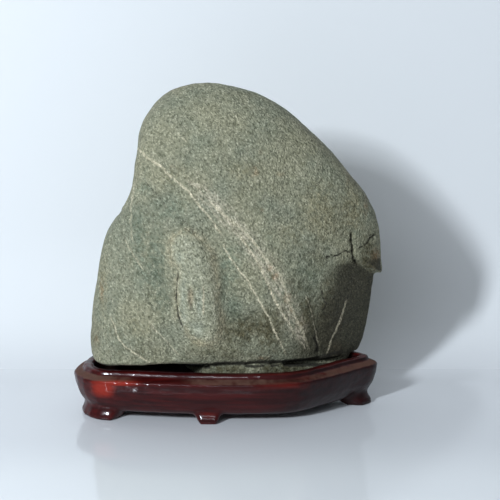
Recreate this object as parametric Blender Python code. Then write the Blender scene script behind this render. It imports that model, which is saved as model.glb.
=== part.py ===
"""A viewing stone on its carved hardwood stand, at real size.

The stone is one boulder: a rough block of flat faces whose edges the river wore round, with a
shoulder taken off its upper left side, a slab split off under the knob on its right side, a low
oval boss between two valleys on its front, and a keel below that sits in the stand.
The stand is carved from one board: a rim in plan, a raised lip round a flat seat, a wall that
turns in below, and feet that flare out again at the floor.

The tables are in millimetres, with +X to the right, -Y to the front and +Z up from the floor.
The meshes are in metres.
"""

import bmesh
import bpy
import numpy as np
from mathutils import Vector, noise

MM = 0.001

# --- stand ---------------------------------------------------------------------------------------
RIM_HEIGHT = 31.8
LIP_HEIGHT = 38.0
SEAT_HEIGHT = 28.0
LIP_INSET = 7.2
SEAT_INSET = 15.0
UNDERSIDE_HEIGHT = 6.0
TOE_HEIGHT = 3.0
TOE_INSET = 3.6
HEEL_INSET = 15.0

# the rim seen from above, anticlockwise from the left end; the front right side is cut back to
# follow the stone, which leaves a sharper corner at the right
RIM_OUTLINE = [
    (-117, -10), (-115.5, -21), (-111, -29.5), (-104, -37), (-95, -41.4), (-80, -43.4), (-50, -47.6),
    (-21, -50.3), (8, -51), (37, -49.6), (53, -45.6), (68, -35.2), (83, -22.7), (99, -8), (110.5, 2.5),
    (113.6, 9), (111.5, 16), (104, 24), (90, 35), (60, 45), (10, 50.5), (-40, 49), (-78, 42.5),
    (-102, 28), (-113, 9),
]
# the line inside the stand that every inset runs towards
SPINE = ((-62, 0), (62, 6))

# a place beside the middle of each foot, the foot's width along the rim, and how much further in
# than the others it stands
FEET = [
    ((-108, -32), 40.0, 1.5),
    ((-15, -51), 12.0, 0.8),
    ((110, 3.5), 13.0, 0.0),
    ((70, 42), 22.0, 1.5),
    ((-10, 50), 14.0, 1.5),
    ((-96, 33), 28.0, 3.0),
]
FOOT_SHOULDER = 5.0
STATIONS_PER_FOOT = 5
STATION_SPACING = 9.5
CURVE_SAMPLES_PER_SPAN = 24
# how square to the rim an inset has to run before it is let go slanting
LEAST_SQUARENESS = 0.88

# --- stone ---------------------------------------------------------------------------------------
SEAT_GAP = 0.3
EDGE_WEAR = 5.0

# the faces of the rough block, each a point on the face and the way it looks
CROWN = [
    ((-12, 0, 253), (-0.02, 0, 1)),
    ((-40, 0, 249), (-0.5, 0, 0.87)),
    ((-58, 0, 231), (-0.85, 0, 0.53)),
    ((22, 0, 246), (0.36, 0, 0.93)),
    ((52, 0, 230.5), (0.62, 0, 0.78)),
    ((84, 0, 188.5), (0.76, 0, 0.65)),
]
ENDS = [
    ((119.8, 0, 147), (0.95, 0, 0.33)),
    ((121.2, 0, 120), (1, 0, -0.04)),
    ((-102, 0, 105), (-0.975, 0, 0.2)),
    ((-109.5, 0, 62), (-1, 0, 0.06)),
    ((-106, -10, 37), (-0.8, -0.1, -0.6)),
]
FRONT = [
    ((-62, -34, 200), (-0.6, -0.77, 0.2)),
    ((-25, -38, 215), (-0.1, -0.8, 0.6)),
    ((30, -35, 210), (0.3, -0.8, 0.52)),
    ((-10, -50, 155), (0.03, -0.985, 0.16)),
    ((45, -42, 150), (0.33, -0.92, 0.2)),
    ((82, -28, 150), (0.48, -0.86, 0.15)),
    ((109, -12.5, 125), (0.8, -0.62, 0.0)),
    ((-105, -18, 90), (-0.87, -0.48, 0.1)),
    ((-86, -36, 90), (-0.5, -0.85, 0.12)),
    ((-50, -47, 90), (-0.12, -0.98, 0.1)),
    ((5, -48, 90), (0.18, -0.97, 0.0)),
    ((40, -39, 80), (0.42, -0.9, -0.1)),
    ((88.5, -16, 87), (0.57, -0.77, -0.29)),
    ((10, -43, 58), (0.15, -0.94, -0.3)),
]
BACK = [
    ((-10, 38, 215), (0, 0.75, 0.66)),
    ((45, 37, 195), (0.3, 0.75, 0.58)),
    ((0, 51, 120), (0, 0.98, 0.12)),
    ((62, 46, 120), (0.3, 0.94, 0.12)),
    ((100, 28, 140), (0.68, 0.7, 0.2)),
    ((0, 48, 62), (0, 0.96, -0.22)),
    ((-60, 40, 170), (-0.55, 0.8, 0.1)),
    ((-86, 36, 90), (-0.5, 0.86, 0.1)),
    ((-102, 16, 90), (-0.88, 0.46, 0.1)),
]
UNDERSIDE = [((0, -38, 45.0), (0.02, -0.33, -1)), ((0, 0, 40.2), (0, 0, -1))]
UNDERSIDE_WEAR = 1.6

# the shoulder: what lies outside both of its faces is gone
SHOULDER = [
    ((-69, 0, 190), (-0.985, 0, 0.1)),
    ((-90, 0, 140), (-0.8, 0.05, 0.6)),
]
SHOULDER_WEAR = 2.8

# the split side: below the knob the stone ends at these faces
SPLIT_FRONT = ((79.1, -8.8, 53.9), (0.69, -0.68, -0.209))
SPLIT_BACK_ABOVE = ((108.2, 15.2, 71.8), (0.93, 0.33, 0.02))
SPLIT_BACK_BELOW = ((103.6, 18.2, 47.5), (0.93, 0.33, -0.135))
SPLIT_BACK_CORNER = ((100.5, 16.3, 40.9), (0.93, 0.33, -0.53))
SPLIT_SIDE = [SPLIT_FRONT, SPLIT_BACK_ABOVE, SPLIT_BACK_BELOW, SPLIT_BACK_CORNER]
UNDER_KNOB = ((99.3, -10, 114), (-0.5, -0.1, -0.77))
SPLIT_WEAR = 1.2

# what sits in the seat of the stand: its sides, its low top, the neck that joins it to the body
# behind a cleft, and the lobe at its right that runs straight up into the body
KEEL_SIDES = [
    ((0, 0, SEAT_HEIGHT + SEAT_GAP), (0, 0, -1)),
    ((0, -34.2, 38), (0, -1, -0.15)),
    ((-28, -10, 38), (-0.9, -0.42, -0.1)),
    ((36, -27.6, 38), (0.39, -0.92, -0.12)),
    ((64, -14.2, 38), (0.495, -0.869, -0.12)),
    *SPLIT_SIDE,
    ((96, 8, 38.5), (0.72, 0.1, -0.69)),
    ((82, 19, 36), (0.57, 0.82, -0.3)),
    ((60, 27.6, 38), (0.283, 0.959, -0.12)),
    ((0, 32, 38), (0, 1, -0.15)),
]
KEEL_TOP = [
    ((8, -33, 42.0), (0, 0.27, 1)),
    ((-15, -35, 41.0), (-0.19, 0, 0.98)),
]
NECK = [
    *KEEL_SIDES,
    ((0, -25.5, 45), (0, -1, 0)),
    ((36, -19, 45), (0.39, -0.92, 0)),
    ((64, -8, 45), (0.495, -0.869, 0)),
    ((-16, 0, 45), (-1, -0.2, 0)),
    ((0, 0, 50), (0, 0, 1)),
]
LOBE = [
    ((0, 0, 38.4), (0, 0, -1)),
    ((64, -14, 45), (-0.87, -0.5, 0)),
    ((76, -7.3, 46), (0.56, -0.83, -0.1)),
    *SPLIT_SIDE,
    ((0, 26, 45), (0, 1, 0)),
    ((0, 0, 56), (0, 0, 1)),
]
KEEL_WEAR = 1.0

# the valleys on the front, each a path along its bottom
VALLEY_RIGHT = [
    (-66, -40, 188), (-40, -47, 166), (-25, -49, 152), (-10, -50, 140), (5, -50, 122),
    (10, -49, 100), (8, -47, 76),
]
VALLEY_LEFT = [(-56, -47, 152), (-54, -48, 120), (-48, -48, 92), (-37, -46, 64)]
BOSS_GROOVE = [(-39, -46, 118), (-36, -48, 95), (-31, -48, 76)]
VALLEY_WIDTH = 11.5
VALLEY_DEPTH = 3.5
BOSS_GROOVE_WIDTH = 2.5
BOSS_GROOVE_DEPTH = 2.5

BOSS_MIDDLE = (-23, -38, 100)
BOSS_RADII = (17, 13, 41)
BOSS_AXIS = (-0.17, 0, 1)
BOSS_WEAR = 2.5

# low swellings all over: how far apart they lie and how high they stand
SWELLING_SPACING = 34.0
SWELLING_HEIGHT = 1.1

STONE_MIDDLE = (2, 0, 145)
STONE_RADII = (112, 50, 112)
STONE_SIGHT = (0, 0, 180)
STONE_DIVISIONS = 7
KEEL_RADII = (75, 42, 30)
KEEL_SIGHT = (36, 0, 33)
KEEL_DIVISIONS = 6
SIGHT_STEPS = 100
HALVINGS = 18
STONE_TRIANGLES = 5800


# --- the form of the stone -----------------------------------------------------------------------

def unit(direction):
    """The direction at length one."""
    direction = np.array(direction, float)
    return direction / np.linalg.norm(direction)


def height_over(points, face):
    """How far each point stands outside a face."""
    place, way = face
    return (points - np.array(place, float)) @ unit(way)


def worn_max(heights, wear):
    """The greatest of several heights, with the edges where they meet worn round."""
    heights = np.stack(heights)
    greatest = heights.max(axis=0)
    return greatest + wear * np.log(np.exp((heights - greatest) / wear).sum(axis=0))


def worn_min(heights, wear):
    """The least of several heights, with the corners where they meet filled round."""
    return -worn_max([-height for height in heights], wear)


def block(points, faces, wear):
    """The height of points over a block that lies inside all of its faces."""
    return worn_max([height_over(points, face) for face in faces], wear)


def oval(points, middle, radii, axis):
    """The height of points over an oval lump whose last radius lies along its axis."""
    along = unit(axis)
    across = unit(np.cross((0, 1, 0), along))
    away = np.cross(along, across)
    offset = points - np.array(middle, float)
    scaled = np.stack([offset @ across / radii[0], offset @ away / radii[1], offset @ along / radii[2]])
    return (np.linalg.norm(scaled, axis=0) - 1) * min(radii)


def valley(points, path, width, depth):
    """How deep a valley along a path sinks the surface at each point."""
    nearest = np.full(len(points), np.inf)
    for start, end in zip(path[:-1], path[1:]):
        start = np.array(start, float)
        run = np.array(end, float) - start
        share = np.clip((points - start) @ run / (run @ run), 0, 1)
        gap = np.linalg.norm(points - start - share[:, None] * run, axis=1)
        nearest = np.minimum(nearest, gap)
    return depth * np.exp(-(nearest / width) ** 2)


def body_form(points):
    """The height of points over the stone without its keel."""
    form = block(points, CROWN + ENDS + FRONT + BACK, EDGE_WEAR)
    form = worn_max([form, *[height_over(points, face) for face in UNDERSIDE]], UNDERSIDE_WEAR)
    shoulder = worn_min([height_over(points, face) for face in SHOULDER], SHOULDER_WEAR)
    form = worn_max([form, shoulder], SHOULDER_WEAR)
    side = block(points, SPLIT_SIDE, SPLIT_WEAR)
    split = worn_min([side, height_over(points, UNDER_KNOB)], SPLIT_WEAR)
    form = worn_max([form, split], SPLIT_WEAR)
    form = form + valley(points, VALLEY_RIGHT, VALLEY_WIDTH, VALLEY_DEPTH)
    form = form + valley(points, VALLEY_LEFT, VALLEY_WIDTH, VALLEY_DEPTH)
    form = worn_min([form, oval(points, BOSS_MIDDLE, BOSS_RADII, BOSS_AXIS)], BOSS_WEAR)
    return form + valley(points, BOSS_GROOVE, BOSS_GROOVE_WIDTH, BOSS_GROOVE_DEPTH)


def keel_form(points):
    """The height of points over the keel, with its neck and its lobe."""
    parts = [KEEL_SIDES + KEEL_TOP, NECK, LOBE]
    return np.min([block(points, faces, KEEL_WEAR) for faces in parts], axis=0)


def swelling(point):
    """How far the worn surface stands out at a point."""
    return SWELLING_HEIGHT * noise.noise(Vector(point) / SWELLING_SPACING)


def carved(name, middle, radii, sight, form, divisions, swell):
    """A closed mesh on the surface of a form, from a ball whose points slide along their sight."""
    bm = bmesh.new()
    bmesh.ops.create_icosphere(bm, subdivisions=divisions, radius=1)
    ball = np.array([vertex.co[:] for vertex in bm.verts])
    sight = np.array(sight, float)
    rays = ball * np.array(radii, float) + np.array(middle, float) - sight
    rays /= np.linalg.norm(rays, axis=1)[:, None]
    steps = np.linspace(0, 2.0 * max(radii), SIGHT_STEPS)
    leaving = np.stack([form(sight + rays * step) > 0 for step in steps]).argmax(axis=0)
    near = steps[leaving - 1]
    far = steps[leaving]
    for _ in range(HALVINGS):
        half = (near + far) / 2
        outside = form(sight + rays * half[:, None]) > 0
        far = np.where(outside, half, far)
        near = np.where(outside, near, half)
    points = sight + rays * near[:, None]
    for vertex, point, ray in zip(bm.verts, points, rays):
        lift = swelling(point) if swell else 0.0
        vertex.co = Vector(point + ray * lift) * MM
    mesh = bpy.data.meshes.new(name)
    bm.to_mesh(mesh)
    bm.free()
    return bpy.data.objects.new(name, mesh)


# --- the stand -----------------------------------------------------------------------------------

def rim_curve(samples_per_span):
    """The rim outline as one smooth closed curve through its points."""
    corners = np.array(RIM_OUTLINE, float)
    spans = []
    for index in range(len(corners)):
        before, start, end, after = (corners[(index + step) % len(corners)] for step in (-1, 0, 1, 2))
        share = np.linspace(0, 1, samples_per_span, endpoint=False)[:, None]
        spans.append(0.5 * (
            2 * start
            + (end - before) * share
            + (2 * before - 5 * start + 4 * end - after) * share ** 2
            + (3 * start - before - 3 * end + after) * share ** 3
        ))
    return np.concatenate(spans)


def seat_inwards(points, inward):
    """For each rim point, the way to the spine, long enough to go in by one millimetre."""
    start, end = np.array(SPINE, float)
    run = end - start
    share = np.clip((points - start) @ run / (run @ run), 0, 1)
    way = start + share[:, None] * run - points
    way /= np.linalg.norm(way, axis=1)[:, None]
    return way / np.clip((way * inward).sum(axis=1), LEAST_SQUARENESS, 1)[:, None]


def stations_and_feet():
    """Stations along the rim: their places, their ways inwards, how much of a foot each is
    and how much further in that foot stands."""
    curve = rim_curve(CURVE_SAMPLES_PER_SPAN)
    steps = np.roll(curve, -1, axis=0) - curve
    lengths = np.linalg.norm(steps, axis=1)
    travelled = np.concatenate([[0], np.cumsum(lengths)])
    around = travelled[-1]
    middles = []
    for place, width, set_back in FEET:
        nearest = np.linalg.norm(curve - np.array(place, float), axis=1).argmin()
        middles.append((travelled[nearest], width / 2, set_back))
    middles.sort()
    marks = []
    for index, (middle, half_width, _) in enumerate(middles):
        reach = half_width + FOOT_SHOULDER
        marks.extend(middle + np.linspace(-1, 1, STATIONS_PER_FOOT) * half_width)
        for share in (1 / 3, 2 / 3, 1):
            marks.append(middle - half_width - FOOT_SHOULDER * share)
            marks.append(middle + half_width + FOOT_SHOULDER * share)
        next_middle, next_half, _ = middles[(index + 1) % len(middles)]
        gap_start = middle + reach
        gap_end = next_middle - next_half - FOOT_SHOULDER
        if gap_end < gap_start:
            gap_end += around
        spaces = round((gap_end - gap_start) / STATION_SPACING)
        marks.extend(np.linspace(gap_start, gap_end, spaces + 1)[1:-1])
    marks = np.sort(np.mod(marks, around))
    closed = np.concatenate([curve, curve[:1]])
    places = np.stack([np.interp(marks, travelled, closed[:, axis]) for axis in (0, 1)], axis=1)
    tangent = steps / lengths[:, None]
    normals = np.stack([-tangent[:, 1], tangent[:, 0]], axis=1)
    closed_normals = np.concatenate([normals, normals[:1]])
    inward = np.stack([np.interp(marks, travelled, closed_normals[:, axis]) for axis in (0, 1)], axis=1)
    inward /= np.linalg.norm(inward, axis=1)[:, None]
    foot = np.zeros(len(marks))
    further_in = np.zeros(len(marks))
    for middle, half_width, set_back in middles:
        gap = np.abs(np.mod(marks - middle + around / 2, around) - around / 2)
        share = np.clip(1 - (gap - half_width) / FOOT_SHOULDER, 0, 1)
        share = share * share * (3 - 2 * share)
        foot = np.maximum(foot, share)
        further_in = np.maximum(further_in, share * set_back)
    return places, seat_inwards(places, inward), foot, further_in


# the section of the stand from the seat outwards and down, each point an inset and a height
TOP_SECTION = [
    (SEAT_INSET + 1.6, SEAT_HEIGHT),
    (SEAT_INSET + 0.4, SEAT_HEIGHT + 1.0),
    (SEAT_INSET, LIP_HEIGHT - 1.2),
    (SEAT_INSET - 1.0, LIP_HEIGHT - 0.3),
    (LIP_INSET + 1.2, LIP_HEIGHT),
    (LIP_INSET + 0.2, LIP_HEIGHT - 0.8),
    (LIP_INSET, LIP_HEIGHT - 3.2),
    (LIP_INSET - 1.0, LIP_HEIGHT - 3.8),
    (1.0, RIM_HEIGHT + 0.6),
    (0.0, RIM_HEIGHT - 0.4),
    (1.2, 24.0),
    (3.4, 17.0),
    (5.8, 12.8),
]
SKIRT_SECTION = [
    (7.2, 10.4),
    (8.8, 8.4),
    (10.4, 6.8),
    (12.0, UNDERSIDE_HEIGHT),
    (16.0, UNDERSIDE_HEIGHT),
    (20.0, UNDERSIDE_HEIGHT),
]
# a foot's points from its waist down
FOOT_SECTION = [
    (7.4, 10.4),
    (6.8, 7.6),
    (4.8, 4.8),
    (TOE_INSET, TOE_HEIGHT),
    (TOE_INSET + 0.6, 0.0),
    (HEEL_INSET, 0.0),
]
# how much of its set-back each of those points takes
SET_BACK_SHARE = [0.2, 0.5, 0.9, 1.0, 1.0, 0.6]
UNDER_SECTION = [(24.0, UNDERSIDE_HEIGHT)]


def stand_mesh():
    """The stand as one loft through rings of the same stations."""
    places, inwards, foot, further_in = stations_and_feet()
    set_back = [0] * len(TOP_SECTION) + SET_BACK_SHARE + [0]
    rings = []
    for index in range(len(TOP_SECTION) + len(SKIRT_SECTION) + 1):
        skirt = (TOP_SECTION + SKIRT_SECTION + UNDER_SECTION)[index]
        footed = (TOP_SECTION + FOOT_SECTION + UNDER_SECTION)[index]
        inset = skirt[0] + (footed[0] - skirt[0]) * foot + set_back[index] * further_in
        height = skirt[1] + (footed[1] - skirt[1]) * foot
        plan = places + inwards * inset[:, None]
        rings.append(np.column_stack([plan, height]))
    bm = bmesh.new()
    rows = [[bm.verts.new(Vector(point) * MM) for point in ring] for ring in rings]
    for upper, lower in zip(rows[:-1], rows[1:]):
        for index, corner in enumerate(upper):
            after = (index + 1) % len(upper)
            bm.faces.new((corner, lower[index], lower[after], upper[after]))
    bm.faces.new(rows[0])
    bm.faces.new(reversed(rows[-1]))
    bmesh.ops.recalc_face_normals(bm, faces=bm.faces)
    mesh = bpy.data.meshes.new("stand")
    bm.to_mesh(mesh)
    bm.free()
    return mesh


# --- materials and assembly ----------------------------------------------------------------------

def material(name, colour, roughness):
    """A plain finish for one piece."""
    finish = bpy.data.materials.new(name)
    finish.use_nodes = True
    shader = finish.node_tree.nodes["Principled BSDF"]
    shader.inputs["Base Color"].default_value = (*colour, 1)
    shader.inputs["Roughness"].default_value = roughness
    shader.inputs["Metallic"].default_value = 0.0
    return finish


def finished(piece, finish, sharp_degrees):
    """Smooth shading with sharp edges kept, and the piece's finish."""
    piece.data.shade_smooth()
    piece.data.set_sharp_from_angle(angle=np.radians(sharp_degrees))
    piece.data.materials.clear()
    piece.data.materials.append(finish)


def make_stone(pieces, cutters):
    """The body of the stone joined with its keel."""
    stone = carved("stone", STONE_MIDDLE, STONE_RADII, STONE_SIGHT, body_form, STONE_DIVISIONS, True)
    keel = carved("keel", KEEL_SIGHT, KEEL_RADII, KEEL_SIGHT, keel_form, KEEL_DIVISIONS, False)
    pieces.objects.link(stone)
    cutters.objects.link(keel)
    keel.display_type = "WIRE"
    keel.hide_render = True
    join = stone.modifiers.new("keel", "BOOLEAN")
    join.operation = "UNION"
    join.solver = "EXACT"
    join.object = keel
    thin = stone.modifiers.new("facets", "DECIMATE")
    bpy.context.view_layer.update()
    joined = len(stone.data.polygons) + len(keel.data.polygons)
    thin.ratio = STONE_TRIANGLES / joined
    finished(stone, material("stone", (0.20, 0.22, 0.16), 0.75), 60)
    return stone


def make_stand(pieces):
    """The stand."""
    stand = bpy.data.objects.new("stand", stand_mesh())
    pieces.objects.link(stand)
    finished(stand, material("lacquered_wood", (0.09, 0.012, 0.008), 0.25), 35)
    return stand


def main():
    """Clear the scene and build both pieces."""
    for leftover in list(bpy.data.objects):
        bpy.data.objects.remove(leftover, do_unlink=True)
    pieces = bpy.data.collections.new("viewing_stone")
    cutters = bpy.data.collections.new("cutters")
    bpy.context.scene.collection.children.link(pieces)
    bpy.context.scene.collection.children.link(cutters)
    make_stand(pieces)
    make_stone(pieces, cutters)


main()
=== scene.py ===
"""A viewing stone on its carved stand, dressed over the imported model.

The stone is a river-worn boulder of speckled grey-green rock. Cream veins cross it as thin sheets
that dip towards the front, so each vein is drawn once, as the path on which its sheet meets the
face, and every colour and every groove that follows it is worked out from that path.
The stand is carved hardwood under red-brown lacquer, with dust on its ledge.

Tables on the face of the stone are in millimetres: across is +X, up is the height of a point
after the dip of the sheets is taken out. Meshes are in metres, as the frame is.
"""

import math

import bmesh
import bpy
import numpy as np
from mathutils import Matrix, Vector, noise


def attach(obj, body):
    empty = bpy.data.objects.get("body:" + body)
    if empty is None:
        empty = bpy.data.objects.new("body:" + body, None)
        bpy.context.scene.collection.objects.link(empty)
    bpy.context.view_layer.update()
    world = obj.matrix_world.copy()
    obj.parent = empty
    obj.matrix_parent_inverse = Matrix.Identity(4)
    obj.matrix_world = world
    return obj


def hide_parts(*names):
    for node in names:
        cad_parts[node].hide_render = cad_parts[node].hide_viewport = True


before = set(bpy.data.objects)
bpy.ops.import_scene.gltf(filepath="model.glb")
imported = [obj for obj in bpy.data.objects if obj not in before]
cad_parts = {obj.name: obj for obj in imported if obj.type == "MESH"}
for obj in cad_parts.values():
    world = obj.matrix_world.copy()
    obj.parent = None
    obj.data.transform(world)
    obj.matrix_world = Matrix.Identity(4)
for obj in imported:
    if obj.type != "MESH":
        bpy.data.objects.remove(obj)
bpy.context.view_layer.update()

MM = 0.001
SHEET_DIP = math.radians(13)
# how much of a vein or a stain still shows where it comes out at the back
SHOWN_BEHIND = 0.5

# the size of the faces in each piece's skin, and how many rounds of wear it gets
STONE_VOXEL = 1.25
STONE_WEAR_PASSES = 26
STAND_VOXEL = 1.1
STAND_WEAR_PASSES = 4
STAND_WEAR = 0.5
# how many rounds of averaging show where a skin bends sharply, and how sharply it has to bend to
# be kept from wear
BEND_PASSES = 6
GENTLE_BEND = 0.02
SHARP_BEND = 0.07
LEAST_STONE_WEAR = 0.04
MOST_STONE_WEAR = 0.50
# vertices closer than this are one vertex
MERGED_WITHIN = 0.01

# the way a skin faces, from the sides where the face of the stone ends to where it is full
FACE_WAYS = (-0.25, 0.15)
# how much of a path, at each end, its mark takes to appear
FADE = 0.12

# --- what the stone shows, on its face -------------------------------------------------------------
# each vein: its path as (across, up) points, how strongly it shows and its half width
VEINS = {
    "main_vein": ([
        (-75, 200), (-66, 193), (-57, 185), (-49, 180), (-42, 173), (-35, 167), (-29, 162), (-24, 155),
        (-19, 149), (-13, 142), (-8, 135), (-5, 130), (-2, 124),
    ], 1.0, 1.1),
    "left_strand": ([
        (4, 134), (10, 127), (16, 119), (22, 109), (27, 99), (32, 87), (37, 77), (42, 69), (46, 62), (51, 54),
    ], 1.0, 1.3),
    "right_strand": ([
        (-18, 158), (-9, 150), (1, 141), (10, 134), (17, 127), (24, 117), (30, 109), (37, 101), (41, 91),
        (44, 82), (47, 75), (51, 66), (55, 58), (59, 46), (60, 40),
    ], 0.8, 1.5),
    "long_thread": ([
        (-3, 128), (-2, 119), (6, 107), (14, 97), (18, 90), (22, 83), (26, 76), (30, 69), (33, 61),
        (37, 53), (41, 44), (44, 37),
    ], 1.0, 0.9),
    "right_thread": ([(56, 87), (61, 75), (64, 63), (66, 56), (68, 46)], 0.6, 0.7),
    "ridge_thread": ([(89, 83), (86, 74), (83, 65), (80, 57), (77, 50), (73, 38)], 0.9, 1.0),
    "corner_thread": ([(-88, 71), (-84, 63), (-80, 53), (-74, 47), (-65, 41), (-57, 36)], 0.9, 0.75),
    "low_thread": ([(-60, 70), (-54, 61), (-48, 55), (-41, 47), (-35, 41)], 0.55, 0.9),
    "edge_thread": ([(-68, 172), (-70, 156), (-72, 145), (-71, 132), (-69, 121)], 0.45, 1.2),
    "nick_thread": ([(-77, 128), (-72, 119), (-66, 110), (-61, 103)], 0.55, 0.7),
    "boss_streak": ([(-18, 94), (-18, 84), (-18, 72)], 1.0, 0.8),
    "top_thread": ([(-40, 207), (-35, 202), (-29, 196)], 0.3, 0.6),
}

# the pale streaky ground between the two strands, and along the upper side of the main vein
PALE_GROUND = [
    (-30, 170), (-18, 160), (-6, 148), (4, 137), (14, 126), (22, 113), (31, 102), (38, 88), (45, 73),
    (52, 58), (57, 45),
]
PALE_GROUND_HALF_WIDTH = 6.0
PALE_GROUND_LEAST = 0.5

# the raised boss: its outline, anticlockwise
BOSS = [
    (-39, 130), (-42, 123), (-42, 116), (-39, 109), (-36, 104), (-37, 97), (-37, 88), (-37, 78), (-35, 68),
    (-32, 62), (-28, 57), (-23, 53), (-16, 50), (-10, 53), (-6, 61), (-5, 70), (-8, 83), (-7, 94),
    (-9, 106), (-13, 119), (-18, 126), (-24, 131), (-31, 133), (-39, 130),
]
BOSS_HEIGHT = 1.5
# how far its edge slopes on its steep left side and on its soft right side
BOSS_STEEP_EDGE = 1.2
BOSS_SOFT_EDGE = 5.5
BOSS_STEEP_TO = -33
BOSS_SOFT_FROM = -16
BOSS_RIM_WIDTH = 3.0

# each dip: its path, its half width and its depth; the dips are wide and soft
DIPS = [
    ([(-52, 160), (-38, 148), (-22, 134), (-9, 118), (-4, 100), (-2, 83), (-2, 68), (0, 52)], 7.0, 1.9),
    ([(-83, 145), (-77, 129), (-70, 117), (-61, 104), (-54, 88), (-50, 70)], 6.0, 1.5),
    ([(-30, 60), (-22, 64), (-21, 76), (-22, 88)], 3.0, 0.9),
    ([(62, 96), (66, 80), (66, 62), (64, 46)], 6.0, 1.3),
    ([(22, 76), (20, 60), (18, 46)], 9.0, 1.6),
    ([(-106, 145), (-94, 147), (-84, 148), (-76, 146), (-68, 142)], 2.5, 2.6),
]
STEP_EDGE = 1.2
# each step: its path, how much higher the ground is on its left side, and how far that reaches
STEPS = [
    ([(-64, 174), (-57, 166), (-49, 157), (-38, 144), (-26, 134), (-18, 124)], 1.3, 11.0),
    ([(-2, 128), (8, 108), (18, 92), (30, 70), (40, 48)], 0.7, 8.0),
    ([(58, 86), (64, 64), (68, 44)], -0.8, 7.0),
]

# each crack: its path, its half width, its depth and how dark the painted shade along it is
CRACKS = [
    ([(-64, 173), (-60, 169), (-56, 164), (-50, 158), (-46, 151), (-40, 146)], 0.8, 0.7, 0.7),
    ([(-37, 144), (-34, 141), (-28, 136), (-23, 129)], 0.8, 0.7, 0.7),
    ([(-22, 186), (-19, 184), (-16, 180)], 0.6, 0.4, 0.6),
    ([(-36, 106), (-37, 96), (-38, 88), (-37, 76), (-35, 67), (-31, 60)], 1.1, 1.1, 1.0),
    ([(-28, 94), (-28, 85), (-26, 74)], 1.3, 0.7, 0.6),
    ([(-82, 143), (-79, 132), (-75, 124)], 0.8, 0.7, 0.5),
    ([(91, 133), (91, 127), (92, 119), (93, 113), (97, 108)], 1.2, 3.2, 1.0),
    ([(71, 112), (75, 115), (80, 115), (86, 118), (92, 117)], 0.8, 1.2, 1.0),
    ([(96, 120), (102, 123), (105, 127), (111, 132)], 0.9, 1.3, 1.0),
    ([(68, 93), (70, 85), (73, 78), (71, 73), (75, 66)], 0.8, 1.0, 0.9),
    ([(64, 54), (67, 48), (66, 41)], 1.5, 1.8, 1.0),
    ([(40, 78), (43, 72), (45, 66)], 0.9, 0.6, 0.7),
    ([(-22, 34.5), (0, 35.2), (16, 35.5), (34, 35.8), (50, 36.2), (66, 37.5), (84, 42), (92, 45)],
     2.5, 0.2, 1.0),
]

# a crack strays from its path by this much, in wanders of this size, and its width varies
CRACK_STRAYS = 0.8
CRACK_WANDER = 2.5
CRACK_SHIFTS = (0, 40)
CRACK_WIDTH = 0.75
CRACK_WIDTH_VARIES = 0.5
CRACK_WIDTH_LUMPS = 4

# the uneven skin of the stone: the size and the height of its lumps
STONE_LUMPS = [(17, 0.5), (7, 0.35)]

# painted shade fills the cleft over the keel, where the skin lies level and low
CLEFT_LEVEL = (0.35, 0.70)
CLEFT_HEIGHTS = (43.5, 46.0)
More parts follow.
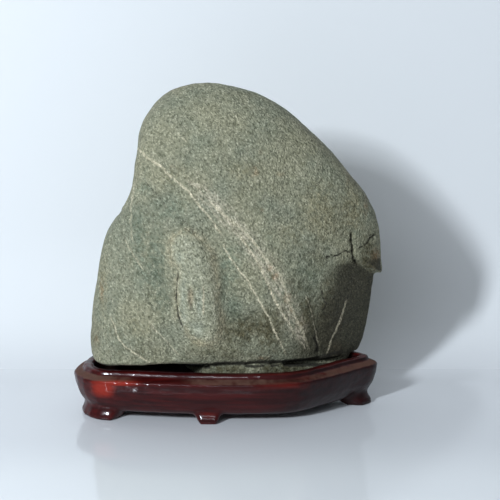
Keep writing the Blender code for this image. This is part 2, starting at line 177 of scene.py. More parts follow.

# stains, with painted shade among them: the tint they take, then each one's middle, its half sizes and its
# strength
STAINS = {
    "rust": [
        ((-27, 85), (2.4, 9), 1.0), ((30, 106), (3, 3.5), 0.8), ((34, 100), (3.5, 4), 0.8),
        ((43, 84), (3, 5), 0.8), ((46, 75), (2.5, 4), 0.6), ((53, 64), (4, 4), 0.7), ((80, 45), (8, 7), 0.9),
        ((24, 190), (4, 3), 0.4), ((19, 175), (4, 5), 0.5), ((38, 174), (5, 3), 0.45),
        ((24, 148), (3, 3), 0.4), ((-38, 178), (13, 9), 0.3), ((109, 113), (5, 9), 0.9),
        ((-94, 90), (3, 12), 0.5), ((-98, 52), (3, 7), 0.5), ((88, 172), (4, 16), 0.35),
        ((102, 150), (3, 12), 0.5), ((84, 67), (2.5, 12), 0.7), ((26, 39), (8, 3), 0.5),
    ],
    "ochre": [
        ((-93, 95), (5, 40), 0.6), ((-88, 60), (14, 18), 0.4), ((43, 76), (10, 18), 0.5),
        ((30, 50), (30, 14), 0.3), ((-42, 170), (18, 10), 0.5), ((-62, 215), (6, 26), 0.4),
        ((-21, 52), (9, 5), 0.8), ((70, 60), (12, 16), 0.35), ((20, 232), (40, 6), 0.35),
        ((10, 148), (14, 16), 0.3), ((72, 92), (10, 10), 0.4), ((66, 150), (20, 30), 0.6),
        ((46, 130), (16, 20), 0.5), ((92, 148), (12, 26), 0.7), ((10, 176), (16, 12), 0.5),
        ((-70, 62), (24, 14), 0.5), ((-92, 120), (8, 12), 0.4), ((14, 205), (22, 14), 0.35),
    ],
    "sea_green": [
        ((-40, 150), (22, 12), 0.6), ((-60, 105), (14, 34), 0.5), ((2, 108), (9, 26), 0.7),
        ((-20, 196), (14, 10), 0.4), ((30, 128), (12, 10), 0.5), ((62, 106), (16, 12), 0.4),
        ((-62, 165), (8, 10), 0.5), ((-66, 140), (8, 20), 0.4), ((34, 74), (5, 14), 0.4),
    ],
    "blue_grey": [
        ((-32, 84), (2.5, 18), 0.9), ((-21, 80), (2.5, 16), 0.9), ((-24, 64), (8, 6), 0.8),
        ((-36, 114), (5, 6), 0.7), ((-33, 70), (4, 12), 1.0), ((-22, 62), (6, 8), 0.9),
        ((-2, 205), (20, 16), 0.2), ((76, 118), (10, 6), 0.4),
    ],
    "pale": [
        ((-31, 125), (9, 8), 0.7), ((-24, 108), (12, 18), 0.4), ((-11, 84), (5, 24), 0.6),
        ((-14, 56), (8, 6), 0.6), ((14, 130), (7, 10), 0.4), ((50, 50), (7, 9), 0.4),
    ],
    # deep green, darkened as painted shade in the valleys
    "deep_green_and_shade": [
        ((-66, 128), (9, 28), 0.8), ((-52, 110), (9, 36), 0.9), ((-48, 84), (9, 20), 0.8),
        ((-58, 164), (7, 8), 0.6), ((-4, 96), (5, 26), 0.9), ((4, 74), (8, 16), 0.9),
        ((28, 96), (6, 16), 0.6), ((20, 116), (5, 14), 0.4), ((-60, 178), (6, 10), 0.5),
        ((44, 108), (8, 14), 0.5), ((58, 100), (14, 20), 0.7), ((-46, 126), (6, 10), 0.5),
    ],
    # painted shade: on the lower middle, the right side, the knob and the keel band
    "painted_shade": [
        ((8, 60), (20, 16), 0.8), ((30, 60), (16, 22), 0.8), ((58, 66), (10, 30), 0.9),
        ((74, 70), (10, 34), 0.9), ((-10, 44), (40, 8), 0.6), ((-70, 44), (30, 8), 0.5),
        ((40, 31), (26, 5), 1.0), ((-4, 31), (24, 5), 0.9), ((80, 142), (24, 34), 0.45),
        ((62, 112), (18, 18), 0.50), ((-78, 58), (24, 20), 0.22), ((104, 128), (8, 16), 0.5),
        ((50, 92), (14, 14), 0.6), ((88, 104), (10, 18), 0.7), ((104, 112), (8, 22), 0.9),
        ((-100, 56), (10, 14), 0.5), ((76, 96), (12, 16), 0.6), ((44, 44), (20, 8), 0.5),
    ],
    # dark umber spots, and painted shade on the lower middle, the lower right and the keel band
    "umber_and_shade": [
        ((20, 178), (10, 14), 0.40), ((36, 160), (8, 10), 0.35), ((-2, 186), (9, 8), 0.35),
        ((62, 132), (10, 12), 0.35), ((48, 186), (9, 10), 0.30), ((84, 138), (8, 14), 0.40),
        ((24, 62), (24, 20), 0.7), ((66, 60), (10, 28), 0.6), ((10, 84), (10, 14), 0.3),
        ((-84, 57), (6, 4), 0.6), ((-56, 50), (7, 5), 0.6), ((-50, 61), (6, 4), 0.4),
        ((56, 78), (10, 12), 0.5), ((0, 40), (60, 6), 0.5), ((92, 120), (4, 9), 0.4),
        ((-46, 156), (8, 5), 0.3),
    ],
}
# the way the split side faces, and how it is told from the worn skin round it
SPLIT_WAY = (0.72, -0.64, -0.21)
SPLIT_LEAST = 0.90
SPLIT_SURE = 0.97
SPLIT_TOP = 118
SPLIT_FADE = 4


def smooth_line(path, samples_per_span=8):
    """A path as a fine line that bends smoothly through its points."""
    corners = np.array([path[0], *path, path[-1]], float)
    share = np.linspace(0, 1, samples_per_span, endpoint=False)[:, None]
    spans = []
    for before, start, end, after in zip(corners, corners[1:], corners[2:], corners[3:]):
        spans.append(0.5 * (
            2 * start
            + (end - before) * share
            + (2 * before - 5 * start + 4 * end - after) * share ** 2
            + (3 * start - before - 3 * end + after) * share ** 3
        ))
    return np.concatenate([*spans, corners[-1:]])


def trace(face, path):
    """For each place on the face: its signed distance from a path, and its share of the way along."""
    line = smooth_line(path)
    steps = np.diff(line, axis=0)
    lengths = np.linalg.norm(steps, axis=1)
    before = np.concatenate([[0], np.cumsum(lengths)])
    distance = np.full(len(face), np.inf)
    along = np.zeros(len(face))
    for start, step, length, travelled in zip(line, steps, lengths, before):
        offset = face - start
        share = np.clip(offset @ step / length ** 2, 0, 1)
        gap = np.linalg.norm(offset - share[:, None] * step, axis=1)
        side = np.sign(step[0] * offset[:, 1] - step[1] * offset[:, 0])
        nearer = gap < np.abs(distance)
        distance = np.where(nearer, gap * side, distance)
        along = np.where(nearer, (travelled + share * length) / before[-1], along)
    return distance, along


def ease(values, start, end):
    """Zero before start, one past end and a smooth rise between them."""
    share = np.clip((values - start) / (end - start), 0, 1)
    return share * share * (3 - 2 * share)


def unevenness(points, size):
    """Smooth random heights, about -1 to 1, in lumps about one size across."""
    return np.array([noise.noise(Vector(point) / size) for point in points])


def places_on_face(points):
    """For each point: how far across the face it is, and how high after the dip is taken out."""
    up = points[:, 2] * math.cos(SHEET_DIP) + points[:, 1] * math.sin(SHEET_DIP)
    return np.column_stack([points[:, 0], up])


def patches(face, spots, edge=2):
    """How strongly round patches show at each place: their middles, half sizes and strengths."""
    shade = np.zeros(len(face))
    for middle, sizes, strength in spots:
        offset = np.abs(face - np.array(middle, float)) / np.array(sizes, float)
        shade = np.maximum(shade, strength * np.exp(-(offset ** edge).sum(axis=1)))
    return shade


def lumpy(points, lumps):
    """Random heights in lumps of several sizes, each with its own height."""
    return sum(height * unevenness(points, size) for size, height in lumps)


def fading_ends(along):
    """One along the middle of a path and nothing at its ends."""
    return ease(along, 0.0, FADE) * ease(1 - along, 0.0, FADE)


# --- meshes --------------------------------------------------------------------------------------

def points_of(mesh):
    """The vertices of a mesh in millimetres."""
    points = np.empty(len(mesh.vertices) * 3)
    mesh.vertices.foreach_get("co", points)
    return points.reshape(-1, 3) / MM


def normals_of(mesh):
    """The way each vertex of a mesh faces."""
    normals = np.empty(len(mesh.vertices) * 3)
    mesh.vertex_normals.foreach_get("vector", normals)
    return normals.reshape(-1, 3)


def move_points(mesh, points):
    """Puts the vertices of a mesh at these places, in millimetres."""
    mesh.vertices.foreach_set("co", (points * MM).ravel())
    mesh.update()


def paint(mesh, name, values):
    """Stores one number, or three, at each vertex for the finish to read."""
    if values.ndim == 1:
        mesh.attributes.new(name, "FLOAT", "POINT").data.foreach_set("value", values.astype(np.float32))
    else:
        layer = mesh.attributes.new(name, "FLOAT_VECTOR", "POINT")
        layer.data.foreach_set("vector", values.astype(np.float32).ravel())


def fine_skin(node, name, voxel):
    """A new piece on a node's solid, with an even fine skin."""
    merged = bmesh.new()
    merged.from_mesh(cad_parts[node].data)
    bmesh.ops.remove_doubles(merged, verts=merged.verts, dist=MERGED_WITHIN * MM)
    solid = bpy.data.meshes.new(name)
    merged.to_mesh(solid)
    merged.free()
    piece = bpy.data.objects.new(name, solid)
    bpy.context.scene.collection.objects.link(piece)
    skin = piece.modifiers.new("skin", "REMESH")
    skin.mode = "VOXEL"
    skin.voxel_size = voxel * MM
    evaluated = piece.evaluated_get(bpy.context.evaluated_depsgraph_get())
    mesh = bpy.data.meshes.new_from_object(evaluated)
    piece.modifiers.clear()
    piece.data = mesh
    piece.data.materials.clear()
    piece.data.shade_smooth()
    return piece


def averaged(mesh, values):
    """At each vertex, the mean of a value over the vertices joined to it."""
    edges = np.empty(len(mesh.edges) * 2, int)
    mesh.edges.foreach_get("vertices", edges)
    first, second = edges.reshape(-1, 2).T
    ends = np.concatenate([first, second])
    others = np.concatenate([second, first])
    around = [np.bincount(ends, values[others, axis], len(values)) for axis in range(3)]
    return np.column_stack(around) / np.bincount(ends, minlength=len(values))[:, None]


def worn(mesh, passes, wear):
    """The vertices of a mesh after rounds of wear that draw each one to the middle of its neighbours."""
    points = points_of(mesh)
    for _ in range(passes):
        points = points + wear[:, None] * (averaged(mesh, points) - points)
    return points


# --- finishes ------------------------------------------------------------------------------------

class Wire:
    """One output socket in a finish, with arithmetic on it."""

    def __init__(self, finish, socket):
        self.finish = finish
        self.socket = socket

    def maths(self, operation, *values):
        return self.finish.node("ShaderNodeMath", {"operation": operation}, dict(enumerate(values)))

    def __add__(self, other):
        return self.maths("ADD", self, other)

    def __sub__(self, other):
        return self.maths("SUBTRACT", self, other)

    def __mul__(self, other):
        return self.maths("MULTIPLY", self, other)

    def __truediv__(self, other):
        return self.maths("DIVIDE", self, other)

    def __rsub__(self, other):
        return self.maths("SUBTRACT", other, self)

    __radd__ = __add__
    __rmul__ = __mul__

    def size(self):
        return self.maths("ABSOLUTE", self)

    def greater(self, other):
        return self.maths("MAXIMUM", self, other)

    def eased(self, start, end):
        """Zero before start, one past end and a smooth rise between them."""
        settings = {"interpolation_type": "SMOOTHSTEP", "clamp": True}
        return self.finish.node(
            "ShaderNodeMapRange", settings, {"Value": self, "From Min": start, "From Max": end},
        )


class Finish:
    """A material in the making: its nodes and its shader."""

    def __init__(self, name):
        self.material = bpy.data.materials.new(name)
        self.material.use_nodes = True
        self.tree = self.material.node_tree
        self.shader = self.tree.nodes["Principled BSDF"]
        self.place = self.node("ShaderNodeTexCoord", output="Object")

    def node(self, kind, settings=None, values=None, output=0):
        """A node of a kind, with its settings made first, then its sockets filled; one output."""
        node = self.tree.nodes.new(kind)
        for name, value in (settings or {}).items():
            setattr(node, name, value)
        for name, value in (values or {}).items():
            self.fill(node.inputs[name], value)
        return Wire(self, node.outputs[output])

    def fill(self, socket, value):
        """Links a wire to a socket, or sets the socket's own value."""
        if isinstance(value, Wire):
            self.tree.links.new(value.socket, socket)
        else:
            socket.default_value = value

    def set(self, **values):
        """Fills the shader's sockets."""
        for name, value in values.items():
            self.fill(self.shader.inputs[name.replace("_", " ").title()], value)

    def stretched(self, turn, stretch):
        """Object coordinates turned, then stretched along each axis."""
        values = {"Vector": self.place, "Rotation": turn, "Scale": stretch}
        return self.node("ShaderNodeMapping", {"vector_type": "TEXTURE"}, values)

    def cloudy(self, size, detail=2, vector=None):
        """Soft noise, 0 to 1, in clouds of about one size in millimetres."""
        values = {"Vector": vector or self.place, "Scale": 1 / (size * MM), "Detail": detail}
        return self.node("ShaderNodeTexNoise", values=values)

    def grains(self, size, vector=None):
        """A random number, 0 to 1, for each grain of about one size in millimetres."""
        values = {"Vector": vector or self.place, "Scale": 1 / (size * MM)}
        colour = self.node("ShaderNodeTexVoronoi", values=values, output="Color")
        return self.node("ShaderNodeSeparateColor", values={"Color": colour})

    def painted(self, name):
        """A number stored at the vertices."""
        return self.node("ShaderNodeAttribute", {"attribute_name": name}, output="Fac")

    def split(self, vector):
        """The three parts of a vector."""
        return [
            self.node("ShaderNodeSeparateXYZ", values={"Vector": vector}, output=axis) for axis in "XYZ"
        ]

    def painted_three(self, name):
        """Three numbers stored at the vertices."""
        return self.split(self.node("ShaderNodeAttribute", {"attribute_name": name}, output="Vector"))

    def mix(self, share, first, second, blend="MIX"):
        """The first colour turning into the second."""
        settings = {"data_type": "RGBA", "blend_type": blend}
        ends = [value if isinstance(value, Wire) else (*value, 1) for value in (first, second)]
        return self.node("ShaderNodeMix", settings, {0: share, 6: ends[0], 7: ends[1]}, output=2)

    def rise(self, height, distance, strength=1.0, under=None):
        """A bump of this height map, where one unit stands so many millimetres out."""
        values = {"Height": height, "Distance": distance * MM, "Strength": strength}
        if under:
            values["Normal"] = under
        return self.node("ShaderNodeBump", values=values)


# how the layers of the rock lie, and how much longer its grains and its streaks are along them
LAYERS = (0, math.radians(52), 0)
GRAIN_STRETCH = (1.3, 1.0, 1.0)
STREAK_STRETCH = (7.0, 1.0, 1.0)

# the colours of the rock, from its ground to what lies on it
GROUND_GREEN = (0.246, 0.250, 0.174)
GROUND_WARM = (0.304, 0.288, 0.190)
GROUND_BUFF = (0.315, 0.298, 0.205)
SPLIT_SIDE_AND_SHADE_COLOUR = (0.050, 0.044, 0.026)
BOSS_COLOUR = (0.430, 0.412, 0.285)
BOSS_RIM_COLOUR = (0.430, 0.360, 0.225)
STREAK_COLOUR = (0.570, 0.490, 0.360)
VEIN_COLOUR = (0.640, 0.560, 0.390)
CRACK_SHADE_COLOUR = (0.030, 0.026, 0.018)
# each stain's colour and how much of it shows; the darkest stand partly or wholly for painted shade
TINTS = {
    "sea_green": ((0.200, 0.240, 0.168), 0.7),
    "ochre": ((0.310, 0.262, 0.140), 0.6),
    "blue_grey": ((0.270, 0.315, 0.265), 0.8),
    "pale": ((0.430, 0.410, 0.305), 0.7),
    "umber_and_shade": ((0.110, 0.102, 0.064), 0.75),
    "rust": ((0.300, 0.150, 0.062), 0.75),
    "deep_green_and_shade": ((0.150, 0.176, 0.122), 0.75),
    # the colour of the painted shade
    "painted_shade": ((0.084, 0.072, 0.034), 0.92),
}
# what the grains do to the colour under them: they multiply it
DULL_MOTTLE = (0.50, 0.51, 0.44)
BRIGHT_MOTTLE = (1.40, 1.35, 1.35)
LIGHT_GRAIN = (2.05, 2.00, 2.10)
DARK_GRAIN = (0.36, 0.38, 0.36)

# sizes of the rock's patterns, in millimetres
BROAD_CLOUDS = 34
NARROW_CLOUDS = 8
RAGGED_EDGES = 3.2
STREAK_SIZE = 1.6
VEIN_WANDER = 5
VEIN_FRAY = 1.3
LIGHT_GRAIN_SIZE = 0.9
DARK_GRAIN_SIZE = 1.1
MOTTLE_SIZE = 2.0
BUMP_GRAIN = 1.3
BUMP_HOLLOWS = 6
# how far the grain and the hollows stand out, in millimetres
GRAIN_RELIEF = 2.0
HOLLOW_RELIEF = 1.5

STONE_ROUGHNESS = 0.86
STONE_SPECULAR = 0.3


def ground_colour(rock, ragged):
    """The colour of the rock before its veins and grains: broad clouds, stains and painted shade, the
    darkened split side, boss and streaks.
    """
    colour = rock.mix(rock.cloudy(BROAD_CLOUDS, 3).eased(0.35, 0.65), GROUND_GREEN, GROUND_WARM)
    colour = rock.mix(rock.cloudy(NARROW_CLOUDS, 3).eased(0.45, 0.75) * 0.5, colour, GROUND_BUFF)
    for name, (tint, strength) in TINTS.items():
        patch = (rock.painted(name) * (ragged * 1.6)).eased(0.12, 0.85)
        colour = rock.mix(patch * strength, colour, tint)
    # the split side's own darker colour, deepened by painted shade
    colour = rock.mix(rock.painted("split_side") * 0.92, colour, SPLIT_SIDE_AND_SHADE_COLOUR)
    boss = rock.painted("boss") * (ragged.eased(0.20, 0.60) * 0.65)
    colour = rock.mix(boss, colour, BOSS_COLOUR)
    boss_rim = rock.painted("boss_rim") * (ragged.eased(0.25, 0.60) * 0.5)
    colour = rock.mix(boss_rim, colour, BOSS_RIM_COLOUR)
    streaks = rock.cloudy(STREAK_SIZE, 3, rock.stretched(LAYERS, STREAK_STRETCH)).eased(0.36, 0.60)
    return rock.mix(rock.painted("pale_ground") * (streaks * 0.65), colour, STREAK_COLOUR)


def vein_strength(rock):
    """How strongly a vein shows: every vein's line, frayed and broken along its way."""
    wobble = (rock.cloudy(VEIN_WANDER, 2) - 0.5) * 2.6 + (rock.cloudy(VEIN_FRAY, 2) - 0.5) * 1.2
    broken = rock.cloudy(VEIN_WANDER, 3).eased(0.30, 0.58)
    vein = None
    for name in VEINS:
        away, strength, half_width = rock.painted_three(name)
        line = (1 - ((away + wobble).size() / half_width).eased(0.25, 1.1)) * strength
        vein = line if vein is None else vein.greater(line)
    return vein * (broken * 0.7 + 0.3)


def stone_finish():
    """Speckled grey-green rock with cream veins, stains, and painted shade on its darker side and in its
    cracks.
    """
    rock = Finish("speckled_grey_green_rock")
    layered = rock.stretched(LAYERS, GRAIN_STRETCH)
    colour = ground_colour(rock, rock.cloudy(RAGGED_EDGES, 3, layered))
    vein = vein_strength(rock)
    colour = rock.mix(vein * 0.9, colour, VEIN_COLOUR)

    light = rock.grains(LIGHT_GRAIN_SIZE, layered).eased(0.74, 0.90)
    dark = rock.grains(DARK_GRAIN_SIZE, layered).eased(0.68, 0.88)
    mottle = rock.cloudy(MOTTLE_SIZE, 4, layered)
    colour = rock.mix(mottle.eased(0.46, 0.66) * 0.56, colour, DULL_MOTTLE, "MULTIPLY")
    colour = rock.mix((1 - mottle).eased(0.52, 0.70) * 0.40, colour, BRIGHT_MOTTLE, "MULTIPLY")
    colour = rock.mix(light * 0.50, colour, LIGHT_GRAIN, "MULTIPLY")
    colour = rock.mix(dark * 0.56, colour, DARK_GRAIN, "MULTIPLY")
    # painted shade in the cracks and in the cleft over the keel
    colour = rock.mix(rock.painted("crack_shade").eased(0.15, 0.9) * 0.9, colour, CRACK_SHADE_COLOUR)
    rock.set(base_color=colour, roughness=STONE_ROUGHNESS - vein * 0.15 - light * 0.12)
    rock.shader.inputs["Specular IOR Level"].default_value = STONE_SPECULAR

    grain = rock.rise(rock.cloudy(BUMP_GRAIN, 3, layered), GRAIN_RELIEF)
    rock.set(normal=rock.rise(rock.cloudy(BUMP_HOLLOWS, 3), HOLLOW_RELIEF, under=grain))
    return rock.material


# the lacquer's colours: its two tones, the painted shade on the right end, where it is worn thin with a
# painted sheen, dust and the painted shade in the seat
LACQUER_DEEP = (0.026, 0.0022, 0.0022)
LACQUER_RED = (0.066, 0.0045, 0.0040)
LACQUER_SHADE_COLOUR = (0.006, 0.001, 0.001)
THIN_AND_SHEEN_COLOUR = (0.300, 0.020, 0.008)
DUST_COLOUR = (0.118, 0.062, 0.044)
SEAT_SHADE_COLOUR = (0.008, 0.004, 0.003)
# the wood's figure: how it lies, and how it is drawn out along the board
FIGURE_TURN = (0, 0, math.radians(3))
FIGURE_STRETCH = (55, 4, 3)
FIGURE_SIZE = 1.0
DUST_CLOUDS = 6
LACQUER_RIPPLE = 5
LACQUER_RIPPLE_HEIGHT = 0.45
LACQUER_ROUGHNESS = 0.42
LACQUER_COAT = 0.46
COAT_ROUGHNESS = 0.11
LACQUER_SPECULAR = 0.06


def lacquer_finish():
    """Red-brown lacquer over carved hardwood, with dust where it can settle, painted shade towards the right
    end and in the seat, and a painted sheen where it is worn thin.
    """
    lacquer = Finish("red_brown_lacquer")
    figure = lacquer.cloudy(FIGURE_SIZE, 4, lacquer.stretched(FIGURE_TURN, FIGURE_STRETCH))
    colour = lacquer.mix(figure.eased(0.30, 0.75), LACQUER_DEEP, LACQUER_RED)
    # painted shade on the walls towards the right end
    colour = lacquer.mix(lacquer.painted("painted_shade_right") * 0.75, colour, LACQUER_SHADE_COLOUR)
    # thin lacquer with a painted sheen
    thin_and_sheen = (lacquer.painted("thin_lacquer_and_sheen") * (figure * 0.8 + 0.6)).eased(0.15, 0.9)
    colour = lacquer.mix(thin_and_sheen * 0.85, colour, THIN_AND_SHEEN_COLOUR)
    dust = (lacquer.painted("dust") * (lacquer.cloudy(DUST_CLOUDS, 4) * 1.6)).eased(0.15, 0.8)
    colour = lacquer.mix(dust * 0.75, colour, DUST_COLOUR)
    # painted shade in the seat under the stone, which is also dull and uncoated
    shaded_seat = lacquer.painted("seat_shade")
    colour = lacquer.mix(shaded_seat * 0.9, colour, SEAT_SHADE_COLOUR)
    rough = (dust * 0.4 + LACQUER_ROUGHNESS).greater(shaded_seat * 0.95)
    coat = LACQUER_COAT - (dust * 0.42).greater(shaded_seat * LACQUER_COAT)
    lacquer.set(base_color=colour, roughness=rough, coat_weight=coat)
    lacquer.shader.inputs["Coat Roughness"].default_value = COAT_ROUGHNESS
    lacquer.shader.inputs["Specular IOR Level"].default_value = LACQUER_SPECULAR
    lacquer.set(normal=lacquer.rise(lacquer.cloudy(LACQUER_RIPPLE, 3), LACQUER_RIPPLE_HEIGHT))
    return lacquer.material


# the sheet: how far it reaches, where it bends up behind, and how high it goes, in metres
SHEET_REACH = 3.0
BACKDROP_DISTANCE = 0.06
BACKDROP_BEND = 0.10
BACKDROP_HEIGHT = 2.5
BEND_STEPS = 12
# in front of the stand the sheet is fully pale from one depth on and dimmer before the other
SHEET_DIM_FROM = -0.80
SHEET_PALE_FROM = -0.30
# round the stand it is a little greyer, up to the bend behind, a painted shade for the stand's shadow and
# dark reflection on the sheet
SHEET_SHADED_FROM = -0.17
SHEET_SHADED_FULLY = -0.07
SHEET_BACKDROP_BEGINS = (0.06, 0.14)
SHEET_DIM = (0.30, 0.30, 0.31)
SHEET_PALE = (0.79, 0.79, 0.79)
SHEET_SHADED = (0.70, 0.70, 0.71)
# its gloss as a floor, and how much rougher it is as a backdrop
SHEET_ROUGHNESS = 0.11
BACKDROP_ROUGHER = 0.7
SHEET_SPECULAR = 0.75


def sheet_finish():
    """The pale sheet the stone stands on; from behind it lets the view through."""
    sheet = Finish("pale_sheet")
    _, depth, _ = sheet.split(sheet.place)
    near = depth.eased(SHEET_DIM_FROM, SHEET_PALE_FROM)
    colour = sheet.mix(near, SHEET_DIM, SHEET_PALE)
    # painted shade round the stand, for its shadow and dark reflection on the sheet
    under = depth.eased(SHEET_SHADED_FROM, SHEET_SHADED_FULLY) - depth.eased(*SHEET_BACKDROP_BEGINS)
    colour = sheet.mix(under, colour, SHEET_SHADED)
    rough = depth.eased(*SHEET_BACKDROP_BEGINS) * BACKDROP_ROUGHER + SHEET_ROUGHNESS
    sheet.set(base_color=colour, roughness=rough)
    sheet.shader.inputs["Specular IOR Level"].default_value = SHEET_SPECULAR
    through = sheet.node("ShaderNodeBsdfTransparent")
    behind = sheet.node("ShaderNodeNewGeometry", output="Backfacing")
    front = Wire(sheet, sheet.shader.outputs["BSDF"])
    shown = sheet.node("ShaderNodeMixShader", values={0: behind, 1: front, 2: through})
    sheet.fill(sheet.tree.nodes["Material Output"].inputs["Surface"], shown)
    return sheet.material


# --- the pieces ----------------------------------------------------------------------------------

def openness(mesh):
    """How freely each vertex wears: fully in the open, hardly at all where the skin bends sharply."""
    normals = normals_of(mesh)
    for _ in range(BEND_PASSES):
        normals = averaged(mesh, normals)
    bend = 1 - (normals ** 2).sum(axis=1)
    open_share = 1 - ease(bend, GENTLE_BEND, SHARP_BEND)
    return LEAST_STONE_WEAR + (MOST_STONE_WEAR - LEAST_STONE_WEAR) * open_share


def raised_boss(face):
    """One on the boss, nothing beside it and a slope between, steep on its left and soft on its right."""
    away, _ = trace(face, BOSS)
    softness = ease(face[:, 0], BOSS_STEEP_TO, BOSS_SOFT_FROM)
    edge = BOSS_STEEP_EDGE + (BOSS_SOFT_EDGE - BOSS_STEEP_EDGE) * softness
    return ease(away / edge, -1, 1)


def relief_of(face):
    """How far the skin stands out or in, over and above the solid, without its cracks."""
    relief = BOSS_HEIGHT * raised_boss(face)
    for path, half_width, depth in DIPS:
        away, along = trace(face, path)
        relief -= depth * np.exp(-(away / half_width) ** 2) * fading_ends(along)
    for path, height, reach in STEPS:
        away, along = trace(face, path)
        side = ease(away, -STEP_EDGE, STEP_EDGE) * np.exp(-(away / reach) ** 2)
        relief += height * side * fading_ends(along)
    return relief


def make_stone():
    """The boulder, with its cracks cut in and its veins, stains and painted shade laid out."""
    stone = fine_skin("stone", "boulder", STONE_VOXEL)
    mesh = stone.data
    move_points(mesh, worn(mesh, STONE_WEAR_PASSES, openness(mesh)))
    points = points_of(mesh)
    normals = normals_of(mesh)
    face = places_on_face(points)
    front = ease(-normals[:, 1], *FACE_WAYS)
    through = SHOWN_BEHIND + (1 - SHOWN_BEHIND) * front

    cut = np.zeros(len(points))
    crack_shade = np.zeros(len(points))
    strays = [unevenness(points + shift, CRACK_WANDER) for shift in CRACK_SHIFTS]
    frayed = face + np.column_stack(strays) * CRACK_STRAYS
    varied = CRACK_WIDTH + CRACK_WIDTH_VARIES * unevenness(points, CRACK_WIDTH_LUMPS)
    # each crack is cut in, with painted shade along it
    for path, half_width, depth, darkness in CRACKS:
        away, along = trace(frayed, path)
        open_part = np.exp(-(away / (half_width * varied)) ** 2) * fading_ends(along) * front
        cut = np.maximum(cut, open_part * depth)
        crack_shade = np.maximum(crack_shade, open_part * darkness)
    relief = relief_of(face) * front - cut + lumpy(points, STONE_LUMPS)
    move_points(mesh, points + normals * relief[:, None])

    for name, (path, strength, half_width) in VEINS.items():
        away, along = trace(face, path)
        shown = strength * fading_ends(along) * through
        paint(mesh, name, np.column_stack([away, shown, np.full(len(away), half_width)]))
    away, along = trace(face, PALE_GROUND)
    width = PALE_GROUND_HALF_WIDTH * fading_ends(along) + PALE_GROUND_LEAST
    paint(mesh, "pale_ground", np.exp(-(away / width) ** 2) * through)
    away, _ = trace(face, BOSS)
    paint(mesh, "boss", raised_boss(face) * front)
    paint(mesh, "boss_rim", np.exp(-(away / BOSS_RIM_WIDTH) ** 2) * front)
    for tint, spots in STAINS.items():
        paint(mesh, tint, patches(face, spots) * through)
    # painted shade where the skin lies level and low in the cleft over the keel
    level = ease(np.abs(normals[:, 2]), *CLEFT_LEVEL)
    cleft_shade = level * (1 - ease(points[:, 2], *CLEFT_HEIGHTS))
    paint(mesh, "crack_shade", np.maximum(crack_shade, cleft_shade))
    # the split side, darkened partly as painted shade
    facing = normals @ (np.array(SPLIT_WAY) / np.linalg.norm(SPLIT_WAY))
    below = 1 - ease(points[:, 2], SPLIT_TOP - SPLIT_FADE, SPLIT_TOP)
    paint(mesh, "split_side", ease(facing, SPLIT_LEAST, SPLIT_SURE) * below)

    mesh.materials.append(stone_finish())
    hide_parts("stone")
    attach(stone, "root")


# where the lacquer is worn thin and glows red, with a painted sheen on the rim and the left corner: middle
# and half sizes on the face, and strength
THIN_LACQUER_AND_SHEEN = [
    ((-93, 16.5), (9.5, 6.5), 1.0), ((-84, 21), (20, 2.4), 0.9), ((40, 19), (34, 4), 0.35),
    ((-70, 31), (44, 2), 0.35), ((-16, -3), (8, 4), 0.35), ((-20, 14), (50, 3), 0.25),
]
# painted shade darkens the walls towards the right between these places
SHADE_ACROSS = (0, 70)
# how squarely a worn or sheen patch ends: 2 is round, more is squarer
PATCH_EDGE = 2.6
# the chisel's marks: the size and the height of their lumps, and the heights where they begin
CHISEL_LUMPS = [(13, 0.28), (5, 0.12)]
CHISEL_HEIGHTS = (0.2, 2.0)
# what lies level enough for dust, and for the painted shade in the seat
LEVEL = (0.45, 0.9)
SEAT_LEVEL = (0.2, 0.6)
# the heights between which the ledge, the lip's top and the shaded seat begin and end
LEDGE_BEGINS = (28, 31)
LEDGE_ENDS = (35.5, 36.5)
LIP_TOP_BEGINS = (36, 37)
SEAT_BEGINS = (24, 26)
SEAT_ENDS = (28.8, 30.0)
DUST_ON_LIP = 0.25
# the way the walls face where the worn and sheen patches show
WALL_WAYS = (0.0, 0.4)
# how much dust lies on the ledge, from the left end of the stand to its right end
DUST_ALONG = [
    (-118, 0.9), (-92, 0.95), (-78, 0.6), (-62, 0.2), (-36, 0.2), (-22, 0.85), (12, 0.9), (28, 0.7),
    (36, 0.4), (56, 0.6), (78, 0.95), (116, 1.0),
]


def make_stand():
    """The carved stand with its edges eased by lacquer."""
    stand = fine_skin("stand", "lacquered_stand", STAND_VOXEL)
    mesh = stand.data
    move_points(mesh, worn(mesh, STAND_WEAR_PASSES, np.full(len(mesh.vertices), STAND_WEAR)))
    points = points_of(mesh)
    normals = normals_of(mesh)
    chisel = lumpy(points, CHISEL_LUMPS) * ease(points[:, 2], *CHISEL_HEIGHTS)
    move_points(mesh, points + normals * chisel[:, None])

    height = points[:, 2]
    across, share = np.array(DUST_ALONG).T
    flat = ease(normals[:, 2], *LEVEL)
    ledge = flat * ease(height, *LEDGE_BEGINS) * (1 - ease(height, *LEDGE_ENDS))
    top = flat * ease(height, *LIP_TOP_BEGINS)
    seat = ease(height, *SEAT_BEGINS) * (1 - ease(height, *SEAT_ENDS)) * ease(normals[:, 2], *SEAT_LEVEL)
    paint(mesh, "dust", ledge * np.interp(points[:, 0], across, share) + top * DUST_ON_LIP)
    # painted shade in the seat under the stone
    paint(mesh, "seat_shade", seat)
    # painted shade on the walls towards the right end
    paint(mesh, "painted_shade_right", ease(points[:, 0], *SHADE_ACROSS) * (1 - flat))
    # thin lacquer, and painted sheen on the rim and the left corner
    sheen_and_thin = patches(places_on_face(points), THIN_LACQUER_AND_SHEEN, PATCH_EDGE)
    paint(mesh, "thin_lacquer_and_sheen", sheen_and_thin * ease(-normals[:, 1], *WALL_WAYS))

    mesh.materials.append(lacquer_finish())
    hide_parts("stand")
    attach(stand, "root")


# --- the studio ----------------------------------------------------------------------------------

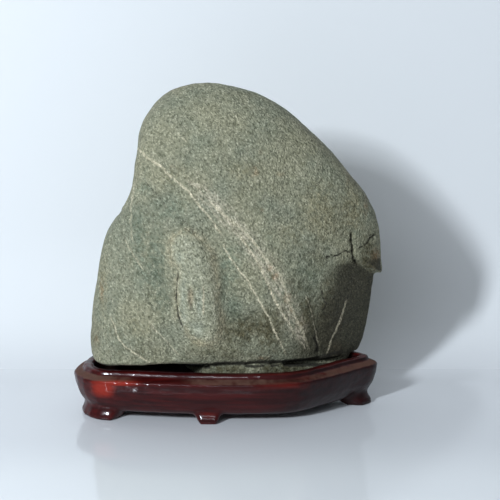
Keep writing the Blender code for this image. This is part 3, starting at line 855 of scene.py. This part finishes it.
CAMERA_DISTANCE = 1.3
CAMERA_ELEVATION = math.radians(13)
CAMERA_AIM = Vector((0.01575, 0, 0.1223))
FRAME_WIDTH = 0.375
SENSOR_WIDTH = 36

# the room's own light
ROOM_COLOUR = (0.80, 0.90, 1.0, 1)
ROOM_STRENGTH = 0.25
LAMP_COLOUR = (0.90, 1.0, 1.10)
LAMP_DISTANCE = 1.6
# each lamp: its azimuth and elevation in degrees, its width and height in metres and its power
LAMPS = {
    "key": (-32, 23, 0.12, 0.12, 10.6),
    "upper_key": (-32, 27.5, 0.12, 0.12, 9.0),
    "strip": (-15, 31, 0.95, 0.08, 4.2),
    "back_fill": (180, 8, 0.60, 0.60, 3),
}


def make_camera():
    """The camera, with a frame this wide where the stone stands."""
    data = bpy.data.cameras.new("camera")
    data.sensor_width = SENSOR_WIDTH
    data.lens = SENSOR_WIDTH * CAMERA_DISTANCE / FRAME_WIDTH
    camera = bpy.data.objects.new("camera", data)
    back = Vector((0, -math.cos(CAMERA_ELEVATION), math.sin(CAMERA_ELEVATION)))
    camera.location = CAMERA_AIM + back * CAMERA_DISTANCE
    camera.rotation_euler = (-back).to_track_quat("-Z", "Y").to_euler()
    bpy.context.scene.collection.objects.link(camera)
    bpy.context.scene.camera = camera


def make_light(name, azimuth, elevation, width, height, power):
    """A flat lamp that looks at the stone from a compass way and an elevation."""
    data = bpy.data.lights.new(name, "AREA")
    data.shape = "RECTANGLE"
    data.size = width
    data.size_y = height
    data.energy = power
    data.color = LAMP_COLOUR
    lamp = bpy.data.objects.new(name, data)
    turn = math.radians(azimuth)
    lift = math.radians(elevation)
    back = Vector((math.sin(turn) * math.cos(lift), -math.cos(turn) * math.cos(lift), math.sin(lift)))
    lamp.location = CAMERA_AIM + back * LAMP_DISTANCE
    lamp.rotation_euler = (-back).to_track_quat("-Z", "Y").to_euler()
    bpy.context.scene.collection.objects.link(lamp)


def make_studio():
    """One pale sheet that lies as the floor and bends up behind as the backdrop."""
    section = [(-SHEET_REACH, 0.0), (BACKDROP_DISTANCE, 0.0)]
    for step in range(1, BEND_STEPS + 1):
        turn = math.radians(90) * step / BEND_STEPS
        section.append((
            BACKDROP_DISTANCE + BACKDROP_BEND * math.sin(turn),
            BACKDROP_BEND * (1 - math.cos(turn)),
        ))
    section.append((BACKDROP_DISTANCE + BACKDROP_BEND, BACKDROP_HEIGHT))
    sheet = bmesh.new()
    rows = [
        [sheet.verts.new((across, depth, height)) for across in (-SHEET_REACH, SHEET_REACH)]
        for depth, height in section
    ]
    for first, second in zip(rows, rows[1:]):
        sheet.faces.new((first[0], first[1], second[1], second[0]))
    mesh = bpy.data.meshes.new("sweep")
    sheet.to_mesh(mesh)
    sheet.free()
    mesh.shade_smooth()
    sweep = bpy.data.objects.new("sweep", mesh)
    bpy.context.scene.collection.objects.link(sweep)
    mesh.materials.append(sheet_finish())
    sweep.visible_shadow = False

    world = bpy.data.worlds.new("studio")
    bpy.context.scene.world = world
    world.use_nodes = True
    background = world.node_tree.nodes["Background"]
    background.inputs["Color"].default_value = ROOM_COLOUR
    background.inputs["Strength"].default_value = ROOM_STRENGTH
    for name, lamp in LAMPS.items():
        make_light(name, *lamp)
    bpy.context.scene.view_settings.view_transform = "Standard"


make_stone()
make_stand()
make_studio()
make_camera()
